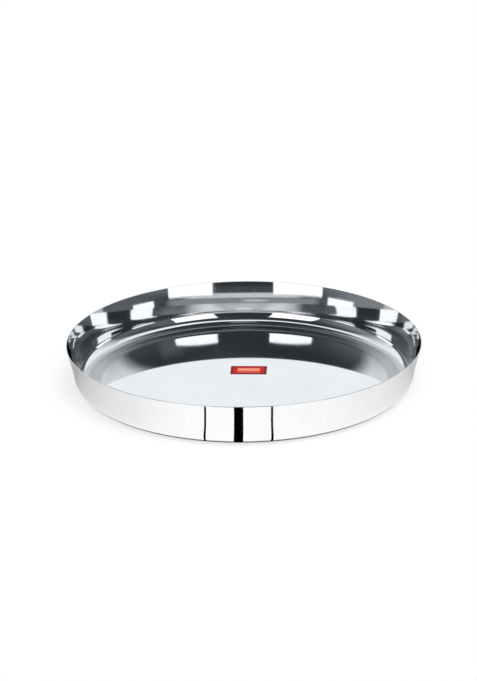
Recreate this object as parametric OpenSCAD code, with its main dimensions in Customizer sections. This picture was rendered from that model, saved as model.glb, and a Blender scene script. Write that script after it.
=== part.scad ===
// Round serving plate pressed from one disc of stainless steel sheet.
// The flat floor turns up through a rounded corner into a wall that flares to a plain rim.
// The origin is the middle of the underside, the face that the plate stands on.
// +Z is up, +X is to the right, and -Y is the side nearest the person it is set before.

/* [Dish] */
// Diameter across the outside of the rim
rim_d = 300; // [240:1:360]
// Height of the rim above the surface that the plate stands on
rim_h = 37.5; // [30:0.5:50]
// Thickness of the steel sheet
sheet_t = 0.7; // [0.5:0.05:1.5]
// Outward lean of the wall at the rim, in degrees from upright
rim_lean = 17.5; // [13:0.5:24]
// Outward lean of the wall just above the bottom corner, in degrees from upright
foot_lean = 9.5; // [4:0.5:12]
// Radius of the rounded bottom corner, on the outside
corner_r = 13.5; // [6:0.5:18]

/* [Label] */
// Width of the adhesive label
label_w = 31; // [16:1:50]
// Depth of the adhesive label
label_d = 19; // [10:1:30]
// Thickness of the label
label_t = 0.15; // [0.1:0.05:0.4]
// Radius of the label's corners
label_corner_r = 0.8; // [0.4:0.2:3]
// Distance from the plate's centre to the label's centre, to the right
label_x = 4; // [-40:1:40]
// Distance from the plate's centre to the label's centre, away from the front
label_y = 23; // [-40:1:40]
// Turn of the label, clockwise as seen from above
label_turn = 2.5; // [0:0.5:10]

/* [Hidden] */

// Facets round the dish, and steps along each curve of its section
round_fn = 180;
corner_steps = 12;
wall_steps = 14;
lip_steps = 8;
label_corner_fn = 32;

// Radii of the corner and the flared wall, at mid-sheet, and the height that the wall takes up
half_t = sheet_t / 2;
corner_mid_r = corner_r - half_t;
wall_rise = rim_h - sheet_t - corner_mid_r * (1 - sin(foot_lean));
wall_mid_r = wall_rise / (sin(rim_lean) - sin(foot_lean));

// Centres of the wall's arc, which lies outside the plate, and of the corner
wall_centre = [rim_d / 2 - half_t + wall_mid_r * cos(rim_lean),
               rim_h - half_t - wall_mid_r * sin(rim_lean)];
corner_centre = wall_centre - (wall_mid_r + corner_mid_r) * [cos(foot_lean), -sin(foot_lean)];

// Values from first to last, in equal steps
function spread(first, last, steps) = [for (i = [0:steps]) first + (last - first) * i / steps];

// Direction straight out of the plate where its surface leans by a from upright
function outward(a) = [cos(a), -sin(a)];

// Points of the section, a distance out from mid-sheet, where its surface leans by a
function wall_point(a, out) = wall_centre - (wall_mid_r - out) * outward(a);
function corner_point(a, out) = corner_centre + (corner_mid_r + out) * outward(a);

// Point of the rounded edge of the rim in the direction a
function lip_point(a) =
    [rim_d / 2 - half_t, rim_h - half_t] + half_t * [cos(a), sin(a)];

// Wall and corner from the rim down to the floor, a distance out from mid-sheet
function side_points(out) = concat(
    [for (a = spread(rim_lean, foot_lean, wall_steps)) wall_point(a, out)],
    [for (a = spread(foot_lean, 90, corner_steps)) if (a > foot_lean) corner_point(a, out)]
);

// The points of a list from last to first
function reversed(points) = [for (i = [len(points) - 1:-1:0]) points[i]];

// Section of the dish from the axis along the underside, over the rim and back along the floor
module dish_section() {
    polygon(concat(
        [[0, 0]],
        reversed(side_points(half_t)),
        [for (a = spread(-rim_lean, 180 - rim_lean, lip_steps))
            if (a > -rim_lean && a < 180 - rim_lean) lip_point(a)],
        side_points(-half_t),
        [[0, sheet_t]]
    ));
}

// The pressed dish, one piece of sheet
module dish() {
    color("gainsboro")
        rotate_extrude($fn = round_fn)
            dish_section();
}

// Rectangle with rounded corners, centred
module rounded_rectangle(w, d, r) {
    square([w - 2 * r, d], center = true);
    square([w, d - 2 * r], center = true);
    for (sx = [-1, 1], sy = [-1, 1])
        translate([sx * (w / 2 - r), sy * (d / 2 - r)])
            circle(r = r, $fn = label_corner_fn);
}

// The adhesive label, stuck to the floor of the dish
module label() {
    color("crimson")
        translate([label_x, label_y, sheet_t])
            rotate([0, 0, -label_turn])
                linear_extrude(height = label_t)
                    rounded_rectangle(label_w, label_d, label_corner_r);
}

dish();
label();
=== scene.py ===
# Round serving plate pressed from mirror-polished steel sheet, with a small red adhesive label.
# Metres throughout, +Z up, -Y nearest the viewer, the plate standing on z = 0 at the origin.
import math

import bpy
import numpy as np
from mathutils import Matrix, Vector


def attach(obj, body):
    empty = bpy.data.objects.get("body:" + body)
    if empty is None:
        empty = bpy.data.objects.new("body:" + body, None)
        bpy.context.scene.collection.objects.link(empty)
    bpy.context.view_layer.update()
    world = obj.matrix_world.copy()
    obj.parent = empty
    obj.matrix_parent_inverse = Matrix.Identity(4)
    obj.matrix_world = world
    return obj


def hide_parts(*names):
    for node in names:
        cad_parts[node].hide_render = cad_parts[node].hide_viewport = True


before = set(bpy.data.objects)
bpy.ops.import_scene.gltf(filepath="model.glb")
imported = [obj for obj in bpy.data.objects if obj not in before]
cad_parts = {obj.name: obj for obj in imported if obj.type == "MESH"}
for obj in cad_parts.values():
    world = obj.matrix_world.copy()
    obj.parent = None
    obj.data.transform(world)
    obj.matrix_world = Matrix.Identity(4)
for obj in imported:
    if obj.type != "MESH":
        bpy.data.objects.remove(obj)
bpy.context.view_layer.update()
scene = bpy.context.scene
mm = 0.001
print("stage: packed frame loaded")


# shader maths
class Signal:
    # A shader socket that stands in sums; each operator adds one Math node to its sheet.
    def __init__(self, sheet, socket):
        self.sheet = sheet
        self.socket = socket

    def math(self, operation, *others):
        return self.sheet.compute(operation, self, *others)

    def __add__(self, other):
        return self.math("ADD", other)

    def __sub__(self, other):
        return self.math("SUBTRACT", other)

    def __rsub__(self, other):
        return self.sheet.compute("SUBTRACT", other, self)

    def __mul__(self, other):
        return self.math("MULTIPLY", other)

    def __truediv__(self, other):
        return self.math("DIVIDE", other)

    def __rtruediv__(self, other):
        return self.sheet.compute("DIVIDE", other, self)

    __radd__ = __add__
    __rmul__ = __mul__

    def __neg__(self):
        return self.math("MULTIPLY", -1.0)

    def __abs__(self):
        return self.math("ABSOLUTE")

    def lower(self, other):
        return self.math("MINIMUM", other)

    def higher(self, other):
        return self.math("MAXIMUM", other)

    def power(self, exponent):
        return self.math("POWER", exponent)

    def rise(self, start, end, low=0.0, high=1.0):
        # Eases from low to high while the signal goes from start to end
        return self.sheet.add("ShaderNodeMapRange", {"interpolation_type": "SMOOTHSTEP"}, {
            "Value": self, "From Min": start, "From Max": end,
            "To Min": low, "To Max": high})["Result"]

    def within(self, start, end, edge):
        # One between start and end, and zero outside, over edges of the given width
        half = edge / 2
        return self.rise(start - half, start + half) * (1 - self.rise(end - half, end + half))


class Sheet:
    # The node tree of one material, or of the world.
    def __init__(self, tree):
        self.tree = tree
        tree.nodes.clear()

    def add(self, kind, settings=None, values=None):
        # One node: its settings first, then the values or links of its sockets.
        # It gives back the node's outputs by name.
        made = self.tree.nodes.new(kind)
        for name, setting in (settings or {}).items():
            setattr(made, name, setting)
        sockets = {socket.name: socket for socket in reversed(made.inputs)}
        sockets.update({socket.identifier: socket for socket in made.inputs})
        for name, value in (values or {}).items():
            if isinstance(value, Signal):
                self.tree.links.new(value.socket, sockets[name])
            else:
                sockets[name].default_value = value
        outputs = {socket.name: Signal(self, socket) for socket in made.outputs if socket.enabled}
        outputs.update({socket.identifier: Signal(self, socket) for socket in made.outputs})
        return outputs

    def compute(self, operation, *terms):
        # One Math node on one or two terms, each a signal or a number
        values = dict(zip(("Value", "Value_001"), terms))
        return self.add("ShaderNodeMath", {"operation": operation}, values)["Value"]

    def split(self, vector):
        parts = self.add("ShaderNodeSeparateXYZ", {}, {"Vector": vector})
        return parts["X"], parts["Y"], parts["Z"]

    def mixColour(self, share, first, second):
        return self.add("ShaderNodeMix", {"data_type": "RGBA"}, {
            "Factor_Float": share, "A_Color": first, "B_Color": second})["Result_Color"]

    def mixShader(self, share, first, second):
        return self.add("ShaderNodeMixShader", {}, {
            "Fac": share, "Shader": first, "Shader_001": second})["Shader"]


def newMaterial(name):
    material = bpy.data.materials.new(name)
    material.use_nodes = True
    return material, Sheet(material.node_tree)


def between(first, last, share):
    # First where the share is zero, and last where it is one
    return first + (last - first) * share


def distance(east, north):
    return (east * east + north * north).math("SQRT")


# mesh pieces
def spread(first, last, steps):
    return np.linspace(first, last, steps + 1)


def meshPiece(name, points, faces, normals=None):
    # A mesh object at the origin from an array of points and a list of arrays of faces.
    # It is shaded smooth where normals are given, and flat where they aren't.
    mesh = bpy.data.meshes.new(name)
    mesh.from_pydata(points.tolist(), [], [face for group in faces for face in group.tolist()])
    if normals is not None:
        mesh.shade_smooth()
        mesh.normals_split_custom_set_from_vertices(normals.tolist())
    mesh.update()
    piece = bpy.data.objects.new(name, mesh)
    scene.collection.objects.link(piece)
    return piece


# dish
dishSettings = {
    "rimDiameter": 300 * mm,
    "rimHeight": 37.5 * mm,
    "sheet": 0.7 * mm,
    "rimLean": 17.5,  # degrees from upright
    "footLean": 9.5,
    "cornerRadius": 13.5 * mm,  # on the outside
    "crown": 0.4 * mm,  # how far the middle of the floor is raised
    "turns": 512,  # faces round the dish
    "floorRings": 14,
    "cornerSteps": 28,
    "wallSteps": 26,
    "lipSteps": 12,
}


def dishSection(values):
    # Section from the axis under the floor, over the rim and back to the axis on the floor.
    # Where the surface leans by a, out of the plate is (cosine a, -sine a). A point of the wall or
    # the corner is that arc's centre plus its radius, and half the sheet, along that direction.
    half = values["sheet"] / 2
    rimLean, footLean = math.radians(values["rimLean"]), math.radians(values["footLean"])
    corner = values["cornerRadius"] - half
    wallRise = values["rimHeight"] - values["sheet"] - corner * (1 - math.sin(footLean))
    wall = wallRise / (math.sin(rimLean) - math.sin(footLean))

    def outward(lean):
        return np.stack([np.cos(lean), -np.sin(lean)], -1)

    lipCentre = np.array([values["rimDiameter"] / 2 - half, values["rimHeight"] - half])
    wallCentre = lipCentre + wall * outward(rimLean)
    cornerCentre = wallCentre - (wall + corner) * outward(footLean)

    def side(facing):
        # From the rim down to the floor on one face of the sheet: points and normals
        wallLean = spread(rimLean, footLean, values["wallSteps"])
        cornerLean = spread(footLean, math.pi / 2, values["cornerSteps"])[1:]
        points = np.concatenate([wallCentre + (facing * half - wall) * outward(wallLean),
                                 cornerCentre + (facing * half + corner) * outward(cornerLean)])
        return points, facing * outward(np.concatenate([wallLean, cornerLean]))

    outside, outsideFacing = side(1)
    inside, insideFacing = side(-1)
    # The floor rises to its crown as crown * (1 - (radius / reach) squared) squared
    reach = inside[-1, 0]
    ring = spread(0, reach, values["floorRings"])[:-1]
    share = 1 - (ring / reach) ** 2
    slope = -4 * values["crown"] * share * ring / reach ** 2
    tilt = np.stack([-slope, np.ones_like(slope)], -1) / np.hypot(slope, 1)[:, None]
    raised = values["crown"] * share ** 2
    under = np.stack([ring, raised], -1)
    above = np.stack([ring, raised + values["sheet"]], -1)
    angles = spread(-rimLean, math.pi - rimLean, values["lipSteps"])[1:-1]
    lip = np.stack([np.cos(angles), np.sin(angles)], -1)
    points = np.concatenate([under, outside[::-1], lipCentre + half * lip, inside, above[::-1]])
    normals = np.concatenate([-tilt, outsideFacing[::-1], lip, insideFacing, tilt[::-1]])
    return points, normals


def lathe(name, section, facing, turns):
    # Carries a section round the Z axis: point = (radius * cosine, radius * sine, height).
    # The first and last points lie on the axis and close the piece with fans of triangles.
    angle = np.arange(turns) * 2 * math.pi / turns
    cosine, sine = np.cos(angle), np.sin(angle)

    def swept(pairs):
        radius, height = pairs[:, :1], pairs[:, 1:]
        around = [radius * cosine, radius * sine, np.repeat(height, turns, axis=1)]
        return np.stack(around, -1).reshape(-1, 3)

    rows = len(section) - 2
    ends = [[0, 0, section[0, 1]], [0, 0, section[-1, 1]]]
    points = np.concatenate([swept(section[1:-1]), ends])
    normals = np.concatenate([swept(facing[1:-1]), [[0, 0, -1.0], [0, 0, 1.0]]])
    column = np.arange(turns)
    beside = (column + 1) % turns
    row = np.arange(rows - 1)[:, None] * turns
    quads = [row + column, row + beside, row + turns + beside, row + turns + column]
    last = (rows - 1) * turns
    bottom = np.stack([beside, column, np.full(turns, rows * turns)], -1)
    top = np.stack([last + column, last + beside, np.full(turns, rows * turns + 1)], -1)
    return meshPiece(name, points, [np.stack(quads, -1).reshape(-1, 4), bottom, top], normals)


section, sectionFacing = dishSection(dishSettings)
dish = lathe("pressed_dish", section, sectionFacing, dishSettings["turns"])
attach(dish, "root")
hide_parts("dish")
print("stage: dish", len(dish.data.polygons), "faces")


# polished steel
steelSettings = {
    "colour": (0.795, 0.800, 0.805, 1),
    "dullColour": (0.755, 0.762, 0.772, 1),  # under the polishing haze and the wheel's rings
    "roughness": 0.035,
    "dullRoughness": 0.07,
    "hazeScale": 26.0,  # patches per metre
    "hazeRange": (0.42, 0.72),
    "hazeShare": 0.7,  # of the dull colour; the rings have the rest
    "dentScale": 17.0,  # slow waves left by the press
    "dentDepth": 0.007 * mm,
    "ringSpacing": 0.45 * mm,  # fine rings left by the polishing wheel
    "ringDepth": 0.00006 * mm,
    "markScale": 120.0,  # draw marks that run up the wall, per radius
    "markFoot": (8 * mm, 14 * mm),  # the heights over which they start
    "markColour": (0.60, 0.61, 0.63, 1),
    "markRange": (0.45, 0.75),
    "markTint": 0.13,
    "markRoughRange": (0.4, 0.8),
    "markRoughness": 0.05,
    "cornerBand": (122 * mm, 135 * mm, 4 * mm),  # foot of the corner, less polished and with painted shade, and its edge
    "cornerTop": (2.5 * mm, 4.5 * mm),
    "cornerRoughness": 0.18,
    # painted shade at the foot of the corner: how far its colour goes to the dark colour below
    "cornerShade": 0.3,
    "cornerShadeFar": 0.92,  # the same painted shade on the far side, where it is deepest
    "farSide": (0.25, 0.8),
    # dark colour of that painted shade, which dims the corner's reflections
    "cornerShadeColour": (0.095, 0.10, 0.105, 1),
}


def polishedSteel(values):
    material, sheet = newMaterial("polished_steel")
    place = sheet.add("ShaderNodeTexCoord")["Object"]
    east, north, up = sheet.split(place)
    reach = distance(east, north)
    bearingEast, bearingNorth = east / reach.higher(mm), north / reach.higher(mm)

    # haze in patches, and rings by the distance along the section, near enough
    cloud = sheet.add("ShaderNodeTexNoise", {}, {
        "Vector": place, "Scale": values["hazeScale"], "Detail": 3.0, "Roughness": 0.55})["Fac"]
    haze = cloud.rise(*values["hazeRange"])
    rings = sheet.add("ShaderNodeTexNoise", {"noise_dimensions": "1D"}, {
        "W": (reach + up) / values["ringSpacing"], "Scale": 1.0, "Detail": 2.0})["Fac"]
    dulling = haze * values["hazeShare"] + rings * (1 - values["hazeShare"])
    colour = sheet.mixColour(dulling, values["colour"], values["dullColour"])
    roughness = between(values["roughness"], values["dullRoughness"], haze * rings)

    # foot of the corner: painted shade, deepest on the far side
    band = reach.within(*values["cornerBand"]) * (1 - up.rise(*values["cornerTop"]))
    farSide = bearingNorth.rise(*values["farSide"])
    cornerShade = between(values["cornerShade"], values["cornerShadeFar"], farSide)
    colour = sheet.mixColour(cornerShade * band, colour, values["cornerShadeColour"])

    # draw marks, read from the direction round the dish
    bearing = sheet.add("ShaderNodeCombineXYZ", {}, {"X": bearingEast, "Y": bearingNorth})["Vector"]
    marks = sheet.add("ShaderNodeTexNoise", {"noise_dimensions": "2D"}, {
        "Vector": bearing, "Scale": values["markScale"], "Detail": 3.0, "Roughness": 0.7})["Fac"]
    wall = up.rise(*values["markFoot"])
    tint = wall * marks.rise(*values["markRange"]) * values["markTint"]
    colour = sheet.mixColour(tint, colour, values["markColour"])
    markRoughness = wall * marks.rise(*values["markRoughRange"], 0.0, values["markRoughness"])
    roughness = roughness + values["cornerRoughness"] * band + markRoughness

    dents = sheet.add("ShaderNodeTexNoise", {}, {
        "Vector": place, "Scale": values["dentScale"], "Detail": 0.0})["Fac"]
    relief = dents * values["dentDepth"] + rings * values["ringDepth"]
    normal = sheet.add("ShaderNodeBump", {}, {"Height": relief, "Distance": 1.0})["Normal"]
    surface = sheet.add("ShaderNodeBsdfPrincipled", {}, {
        "Base Color": colour, "Metallic": 1.0, "Roughness": roughness, "Normal": normal})["BSDF"]
    sheet.add("ShaderNodeOutputMaterial", {}, {"Surface": surface})
    return material


dish.data.materials.append(polishedSteel(steelSettings))
print("stage: steel")


# label
labelSettings = {
    "width": 31 * mm,
    "depth": 19 * mm,
    "thickness": 0.15 * mm,
    "sunk": 0.03 * mm,  # how far its flat underside dips below the floor's crown
    "corner": 0.8 * mm,
    "cornerSteps": 8,
    "centre": (4 * mm, 23 * mm),
    "turn": 2.5,  # degrees clockwise from above
    "film": (0.58, 0.008, 0.006, 1),
    "filmInk": (0.85, 1.15),  # cover of the ink, from the thin to the thick fibres
    "filmEdge": 1.0 * mm,  # how softly each printed block ends
    "border": (0.16, 0.006, 0.012, 1),
    "borderWidth": 2.0 * mm,
    "bar": (0.98, 0.36, 0.22, 1),
    "barInk": (0.5, 1.3),
    "barSize": (19 * mm, 6.0 * mm),
    "barNorth": 1.2 * mm,  # how far the wide bar lies behind the label's middle
    "barEdge": 0.8 * mm,
    "lineSize": (20 * mm, 1.4 * mm),
    "lineNorth": -4.4 * mm,
    "lineEdge": 0.6 * mm,
    "lineCover": 0.75,
    "fibreScale": 900.0,  # fibres per metre
    "fibreDepth": 0.01 * mm,
    "wander": 0.36 * mm,  # how far the fibres make the print's edges wander
    "roughness": (0.42, 0.62),
    "gloss": 0.12,
}


def labelPiece(values, base):
    # A rounded rectangle: corner centres plus radius * (cosine, sine), joined in order,
    # with a top and a bottom cap.
    radius = values["corner"]
    halfSize = np.array([values["width"], values["depth"]]) / 2
    quarter = spread(0, math.pi / 2, values["cornerSteps"])
    angles = np.concatenate([quarter + k * math.pi / 2 for k in range(4)])
    signs = np.repeat([[1, 1], [-1, 1], [-1, -1], [1, -1]], len(quarter), axis=0)
    flat = signs * (halfSize - radius) + radius * np.stack([np.cos(angles), np.sin(angles)], -1)
    turn = -math.radians(values["turn"])
    turned = flat @ np.array([[math.cos(turn), math.sin(turn)], [-math.sin(turn), math.cos(turn)]])
    count = len(flat)
    levels = np.array([base, base + values["thickness"]])
    ring = [np.column_stack([turned + values["centre"], np.full(count, level)]) for level in levels]
    centre = [[*values["centre"], level] for level in levels]
    points = np.concatenate([*ring, centre])
    column = np.arange(count)
    beside = (column + 1) % count
    walls = np.stack([column, beside, beside + count, column + count], -1)
    bottom = np.stack([beside, column, np.full(count, 2 * count)], -1)
    top = np.stack([column + count, beside + count, np.full(count, 2 * count + 1)], -1)
    return meshPiece("adhesive_label", points, [walls, bottom, top])


floorTop = section[:-dishSettings["floorRings"] - 1:-1]  # from the axis outwards
labelReach = math.hypot(*labelSettings["centre"])
labelFloor = np.interp(labelReach, floorTop[:, 0], floorTop[:, 1])
label = labelPiece(labelSettings, labelFloor - labelSettings["sunk"])
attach(label, "root")
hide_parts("label")


def labelFilm(values):
    material, sheet = newMaterial("label_film")
    place = sheet.add("ShaderNodeTexCoord")["Object"]
    turned = sheet.add("ShaderNodeMapping", {"vector_type": "TEXTURE"}, {
        "Vector": place, "Location": (*values["centre"], 0),
        "Rotation": (0, 0, -math.radians(values["turn"]))})["Vector"]
    across, back, _ = sheet.split(turned)
    fibre = sheet.add("ShaderNodeTexNoise", {}, {
        "Vector": place, "Scale": values["fibreScale"], "Detail": 4.0})["Fac"]
    wander = (fibre - 0.5) * values["wander"]

    def block(width, depth, north, edge):
        # One inside a rectangle of the given size, fading over its edge
        over = (abs(across) - width / 2).higher(abs(back - north) - depth / 2)
        return 1 - (over + wander).rise(-edge / 2, edge / 2)

    rim = 2 * values["borderWidth"]
    field = block(values["width"] - rim, values["depth"] - rim, 0.0, values["filmEdge"])
    bar = block(*values["barSize"], values["barNorth"], values["barEdge"])
    line = block(*values["lineSize"], values["lineNorth"], values["lineEdge"])
    film = field * between(*values["filmInk"], fibre)
    ground = sheet.mixColour(film, values["border"], values["film"])
    printed = (bar + values["lineCover"] * line) * between(*values["barInk"], fibre)
    colour = sheet.mixColour(printed, ground, values["bar"])
    normal = sheet.add("ShaderNodeBump", {}, {
        "Height": fibre * values["fibreDepth"], "Distance": 1.0})["Normal"]
    surface = sheet.add("ShaderNodeBsdfPrincipled", {}, {
        "Base Color": colour, "Roughness": between(*values["roughness"], fibre),
        "Specular IOR Level": values["gloss"], "Normal": normal})["BSDF"]
    sheet.add("ShaderNodeOutputMaterial", {}, {"Surface": surface})
    return material


label.data.materials.append(labelFilm(labelSettings))
print("stage: label")


# floor
floorSettings = {
    "size": 60.0,
    "white": 0.27,  # the rest of the white is glow, which softens the shadow
    "cardSide": 0.54,  # card under the plate that the outside of the wall mirrors, at the sides
    "cardFront": 0.71,  # how much brighter it is in front
    "cardFrontPower": 0.7,
    "cardLean": 0.07,  # how much brighter it is on the right
    "cardLeanPower": 3.0,
    "cardEnd": (0.25, 1.2),  # the distances over which it gives way to the far card
    "farCard": 0.28,
    "contactShadeEnd": (136 * mm, 140 * mm),  # painted shade in the mirrored card under the corner, where the plate meets the floor
    "gapNear": -134 * mm,  # three dark gaps in the card before the plate run between these places
    "gapFar": -172 * mm,
    "gapBow": 0.2,  # they bow a little, so that the curved wall shows them straight
    "gapEnd": (0.3, 0.5),
    "gaps": (  # centre and half width at the near end and at the far end
        (-32.6 * mm, 0.95 * mm, -47.7 * mm, 1.35 * mm),
        (-5.4 * mm, 3.7 * mm, -7.2 * mm, 5.35 * mm),
        (21.1 * mm, 1.0 * mm, 31.4 * mm, 1.35 * mm),
    ),
}


def floorPlane(values):
    half = values["size"] / 2
    corners = np.array([[-half, -half, 0], [half, -half, 0], [half, half, 0], [-half, half, 0]])
    floor = meshPiece("studio_floor", corners, [np.array([[0, 1, 2, 3]])])
    return floor


def floorPaper(values):
    # White paper that keeps the plate's shadow; the mirror sees the cards in its place.
    material, sheet = newMaterial("floor_paper")
    place = sheet.add("ShaderNodeTexCoord")["Object"]
    east, north, _ = sheet.split(place)
    reach = distance(east, north)
    facing = (-north / reach.higher(mm)).higher(0.0)
    near = 1 - reach.rise(*values["cardEnd"])
    card = values["cardSide"] + values["cardFront"] * facing.power(values["cardFrontPower"])
    lean = (east / reach.higher(mm)).power(values["cardLeanPower"])
    card = card + values["cardLean"] * lean
    # the mirrored cards fade to dark near the plate's foot: painted shade under the corner
    mirrored = (card * near + values["farCard"] * (1 - near)) * reach.rise(*values["contactShadeEnd"])
    run = (north - values["gapNear"]) / (values["gapFar"] - values["gapNear"])
    run = run * between(1.0, run, values["gapBow"])
    before = north.math("LESS_THAN", 0.0) * (1 - reach.rise(*values["gapEnd"]))
    for nearCentre, nearHalf, farCentre, farHalf in values["gaps"]:
        aside = abs(east - between(nearCentre, farCentre, run))
        gap = (aside - between(nearHalf, farHalf, run)).math("LESS_THAN", 0.0)
        mirrored = mirrored * (1 - before * gap)
    white = values["white"]
    paper = sheet.add("ShaderNodeBsdfDiffuse", {}, {"Color": (white, white, white, 1)})["BSDF"]
    glow = sheet.add("ShaderNodeEmission", {}, {"Strength": 1 - white})["Emission"]
    lit = sheet.add("ShaderNodeAddShader", {}, {"Shader": paper, "Shader_001": glow})["Shader"]
    cards = sheet.add("ShaderNodeEmission", {}, {"Strength": mirrored})["Emission"]
    seen = sheet.add("ShaderNodeLightPath")
    surface = sheet.mixShader(seen["Is Glossy Ray"], lit, cards)
    sheet.add("ShaderNodeOutputMaterial", {}, {"Surface": surface})
    return material


floor = floorPlane(floorSettings)
floor.data.materials.append(floorPaper(floorSettings))
print("stage: floor")


# studio, which only the mirror sees, painted on the world by the direction of the ray
class Look:
    # The direction of a ray, read in three ways: its parts to the east, to the north and up;
    # degrees round from the front and degrees of height; and a place on a flat ceiling,
    # which is east / up and north / up. In the settings below, names in Round and Height are in
    # degrees. Two numbers say where a change starts and ends; a third is the width of its edges.
    def __init__(self, sheet):
        way = sheet.add("ShaderNodeTexCoord")["Generated"]
        self.east, self.north, self.up = sheet.split(way)
        self.turned = self.east.math("ARCTAN2", -self.north) * math.degrees(1)
        self.around = abs(self.turned)
        self.rightHand = self.east.math("GREATER_THAN", 0.0)
        self.height = self.up.math("ARCSINE") * math.degrees(1)
        rising = self.up.higher(0.02)  # near the horizon the ceiling would run away
        self.overX = self.east / rising
        self.overY = self.north / rising
        self.sideways = abs(self.overX)


roomSettings = {
    "front": 0.041,  # light of the dark room in front
    "sides": 0.21,  # how much greyer it is at the sides
    "sidesRight": -0.12,  # the change to that on the right
    "sideRound": (40, 84),
    "sideHeight": (20, 50),
    "band": 0.033,  # faint band over the table
    "bandHeight": (9.4, 13, 2.0),
    "patch": 0.07,  # faint patch on the right
    "patchRound": (47, 68, 10),
    "patchHeight": (10, 46, 8),
}


def darkRoom(values, look):
    sides = values["sides"] + values["sidesRight"] * look.rightHand
    low = 1 - look.height.rise(*values["sideHeight"])
    light = look.around.rise(*values["sideRound"]) * low * sides + values["front"]
    band = look.height.within(*values["bandHeight"])
    patch = look.around.within(*values["patchRound"]) * look.height.within(*values["patchHeight"])
    return light + values["band"] * band + values["patch"] * look.rightHand * patch


tableSettings = {
    "top": 0.69,  # grey table in front: its top, and its darker side below
    "topHeight": (6.6, 9.4, 0.6),
    "topRound": (34, 46),
    "side": 0.29,
    "sideHeight": (6.0, 6.8),
    "sideRound": (46, 58),
    "lamp": 0.62,  # small lamp on the side, an ellipse
    "lampCentre": (-8, 5),
    "lampSize": (10, 0.8),
    "lampFade": 2.2,
}


def table(values, look):
    top = look.height.within(*values["topHeight"]) * (1 - look.around.rise(*values["topRound"]))
    side = 1 - look.height.rise(*values["sideHeight"])
    side = side * (1 - look.around.rise(*values["sideRound"]))
    lampRound = (look.turned - values["lampCentre"][0]) / values["lampSize"][0]
    lampHeight = (look.height - values["lampCentre"][1]) / values["lampSize"][1]
    lamp = 1 - (lampRound.power(2.0) + lampHeight.power(2.0)).rise(0.0, values["lampFade"])
    light = (top * values["top"]).higher(side * values["side"])
    return light.higher(lamp * values["lamp"])


cardSettings = {
    "light": 1.5,  # low bright cards at the sides
    "from": 58.5,  # degrees round
    "fromRight": 3.5,  # how much later the right one starts
    "to": 78,
    "edge": 2.0,
    "top": (6.2, 7.0),
    "slope": 0.12,  # degrees of height that the top drops for each degree round
    "slopeFrom": 62,
    "topRight": 0.35,  # how much lower the right one is
}


def sideCards(values, look):
    start = values["from"] + values["fromRight"] * look.rightHand
    level = look.height + values["slope"] * (look.around - values["slopeFrom"])
    level = level + values["topRight"] * look.rightHand
    card = look.around.within(start, values["to"], values["edge"])
    return card * (1 - level.rise(*values["top"])) * values["light"]


softboxSettings = {
    "light": 1.6,  # two flat softboxes
    "from": 20.3,  # degrees round
    "to": 54.0,
    "toRight": -3.3,  # how much sooner the right one ends, low down
    "toRightHeight": (25, 38),
    "edge": 1.2,
    "facing": 27.0,  # degrees from the front that each one faces
    "rise": (0.143, 0.969, 0.05),  # its height over the distance to its plane
}


def softboxes(values, look):
    plane = ((look.around - values["facing"]) * math.radians(1)).math("COSINE")
    flat = (1 - look.up * look.up).higher(0.0001).math("SQRT")  # never quite zero
    ratio = look.up / (flat * plane)
    low = 1 - look.height.rise(*values["toRightHeight"])
    end = values["to"] + values["toRight"] * look.rightHand * low
    box = look.around.within(values["from"], end, values["edge"])
    return values["light"] * box * ratio.within(*values["rise"])


paperSettings = {
    "light": (0.56, 1.04),  # bright paper behind and overhead, where it starts and further round
    "lightRound": (104, 132),
    "lightMiddle": (0.9, 1.6),
    "middleGain": (0.1, 0.8, 1.35, 1.0),
    "start": (0.2, 1.5, -0.34, 0.34),  # where it starts on the ceiling, from the middle outwards
    "startMiddle": 0.12,
    "startFar": 1.5,
    "startSlope": 0.25,
    "edge": (0.06, 0.1),  # width of its soft edge in the middle, and how that grows outwards
    "edgeReach": 2.0,
    "edgeRise": (-1.0, 1.3),
}


def paperBehind(values, look):
    # How much of the view is paper, and how bright the paper is
    start = abs(look.overX - values["startMiddle"]).rise(*values["start"])
    start = start + values["startSlope"] * (look.sideways - values["startFar"]).higher(0.0)
    narrow, growth = values["edge"]
    edge = narrow + growth * look.sideways.lower(values["edgeReach"])
    paper = ((look.overY - start) / edge).rise(*values["edgeRise"])
    middle = 1 - look.sideways.rise(*values["lightMiddle"])
    light = between(*values["light"], look.around.rise(*values["lightRound"]).higher(middle))
    return paper, light * look.sideways.rise(*values["middleGain"])


openingSettings = {
    "width": 0.85,  # dark opening in the middle of the paper, which widens to the north
    "from": 0.2,
    "power": 0.4,
    "edge": (-0.2, 1.4, 0.04, 0.3),
    "front": (-0.21, -0.15),
    "light": (0.041, 0.66),
    "lightNorth": (0.3, 0.95),
    "glow": 0.14,  # paler middle further back
    "glowWidth": (0.1, 1.2),
    "glowNorth": (1.1, 1.9),
    "topLamp": 0.35,  # soft patch straight overhead
    "topLampSize": (0.06, 0.1),
    "backLamp": 0.265,
    "backLampWidth": (0.3, 0.6),
    "backLampNorth": (2.1, 2.4),
}


def openingOverhead(values, look):
    # How much of the paper is opened, and how bright the opening is
    overX, overY, sideways = look.overX, look.overY, look.sideways
    half = values["width"] * (overY + values["from"]).higher(0.0).power(values["power"])
    edge = overY.rise(*values["edge"])
    opening = (1 - (sideways - half).rise(-edge, edge)) * overY.rise(*values["front"])
    light = between(*values["light"], overY.rise(*values["lightNorth"]))
    glow = (1 - sideways.rise(*values["glowWidth"])) * overY.rise(*values["glowNorth"])
    topLamp = 1 - distance(overX, overY).rise(*values["topLampSize"])
    backLamp = 1 - sideways.rise(*values["backLampWidth"])
    backLamp = backLamp * overY.rise(*values["backLampNorth"])
    light = light + values["glow"] * glow + values["topLamp"] * topLamp
    return opening, light + values["backLamp"] * backLamp


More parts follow.
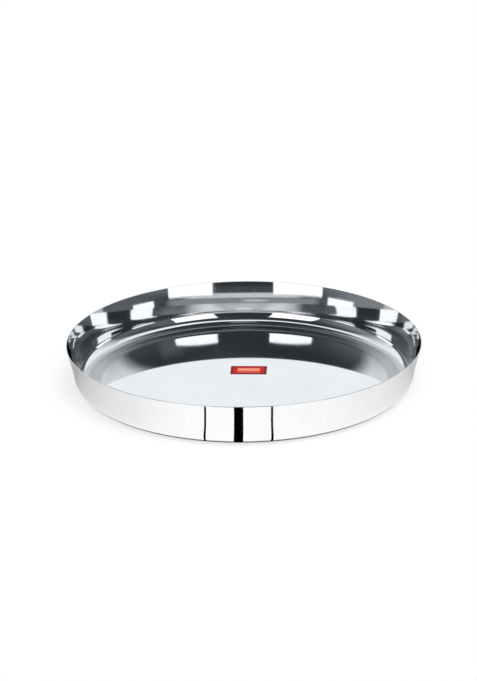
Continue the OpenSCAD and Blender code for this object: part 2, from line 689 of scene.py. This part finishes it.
plainSettings = {
    "room": 0.35,  # plain soft light on everything but the mirror
    "lamp": 7.9,  # soft lamp overhead, a little to the front and right, for the shadow at the left
    "lampTowards": (0.15, -0.38, 0.913),
    "lampFocus": 20.0,
}


def plainLight(values, look):
    east, north, up = values["lampTowards"]
    lamp = (east * look.east + north * look.north + up * look.up).higher(0.0)
    return values["room"] + values["lamp"] * lamp.power(values["lampFocus"])


studioSettings = {
    "panelColour": (0.968, 1.0, 1.028, 1),
    "shadeColour": (0.87, 1.0, 1.12, 1),  # tint of the dark parts
    "shadeRange": (0.02, 0.5),
}


def studioWorld(values):
    world = bpy.data.worlds.new("studio")
    world.use_nodes = True
    scene.world = world
    sheet = Sheet(world.node_tree)
    look = Look(sheet)
    light = darkRoom(roomSettings, look)
    light = light.higher(table(tableSettings, look))
    light = light.higher(sideCards(cardSettings, look))
    light = light.higher(softboxes(softboxSettings, look))
    paper, paperLight = paperBehind(paperSettings, look)
    opening, openingLight = openingOverhead(openingSettings, look)
    behind = paperLight * (1 - opening) + openingLight * opening
    light = light * (1 - paper) + behind * paper
    mirror = sheet.add("ShaderNodeLightPath")["Is Glossy Ray"]
    strength = mirror * light + (1 - mirror) * plainLight(plainSettings, look)
    shade = light.rise(*values["shadeRange"])
    tint = sheet.mixColour(shade, values["shadeColour"], values["panelColour"])
    tint = sheet.mixColour(mirror, (1, 1, 1, 1), tint)
    glow = sheet.add("ShaderNodeBackground", {}, {"Color": tint, "Strength": strength})
    sheet.add("ShaderNodeOutputWorld", {}, {"Surface": glow["Background"]})


studioWorld(studioSettings)
print("stage: studio")


# camera
cameraSettings = {
    "lookAt": (-4.468 * mm, 0.0, 37.093 * mm),
    "elevation": 20.666,  # degrees above the floor
    "distance": 2132 * mm,
    "roll": 0.721,  # degrees
    "lens": 133.485,
}


def addCamera(values):
    # It looks along (0, cosine, -sine) of its elevation, turned by its roll about that line.
    elevation, roll = math.radians(values["elevation"]), math.radians(values["roll"])
    ahead = Vector((0, math.cos(elevation), -math.sin(elevation)))
    above = Vector((0, math.sin(elevation), math.cos(elevation)))
    right = Vector((1, 0, 0))
    rightTurned = math.cos(roll) * right - math.sin(roll) * above
    aboveTurned = math.sin(roll) * right + math.cos(roll) * above
    spot = Vector(values["lookAt"]) - values["distance"] * ahead
    turn = Matrix((rightTurned, aboveTurned, -ahead)).transposed()
    data = bpy.data.cameras.new("camera")
    data.lens = values["lens"]
    camera = bpy.data.objects.new("camera", data)
    camera.matrix_world = Matrix.Translation(spot) @ turn.to_4x4()
    scene.collection.objects.link(camera)
    scene.camera = camera


addCamera(cameraSettings)
scene.view_settings.view_transform = "Standard"
print("stage: camera")
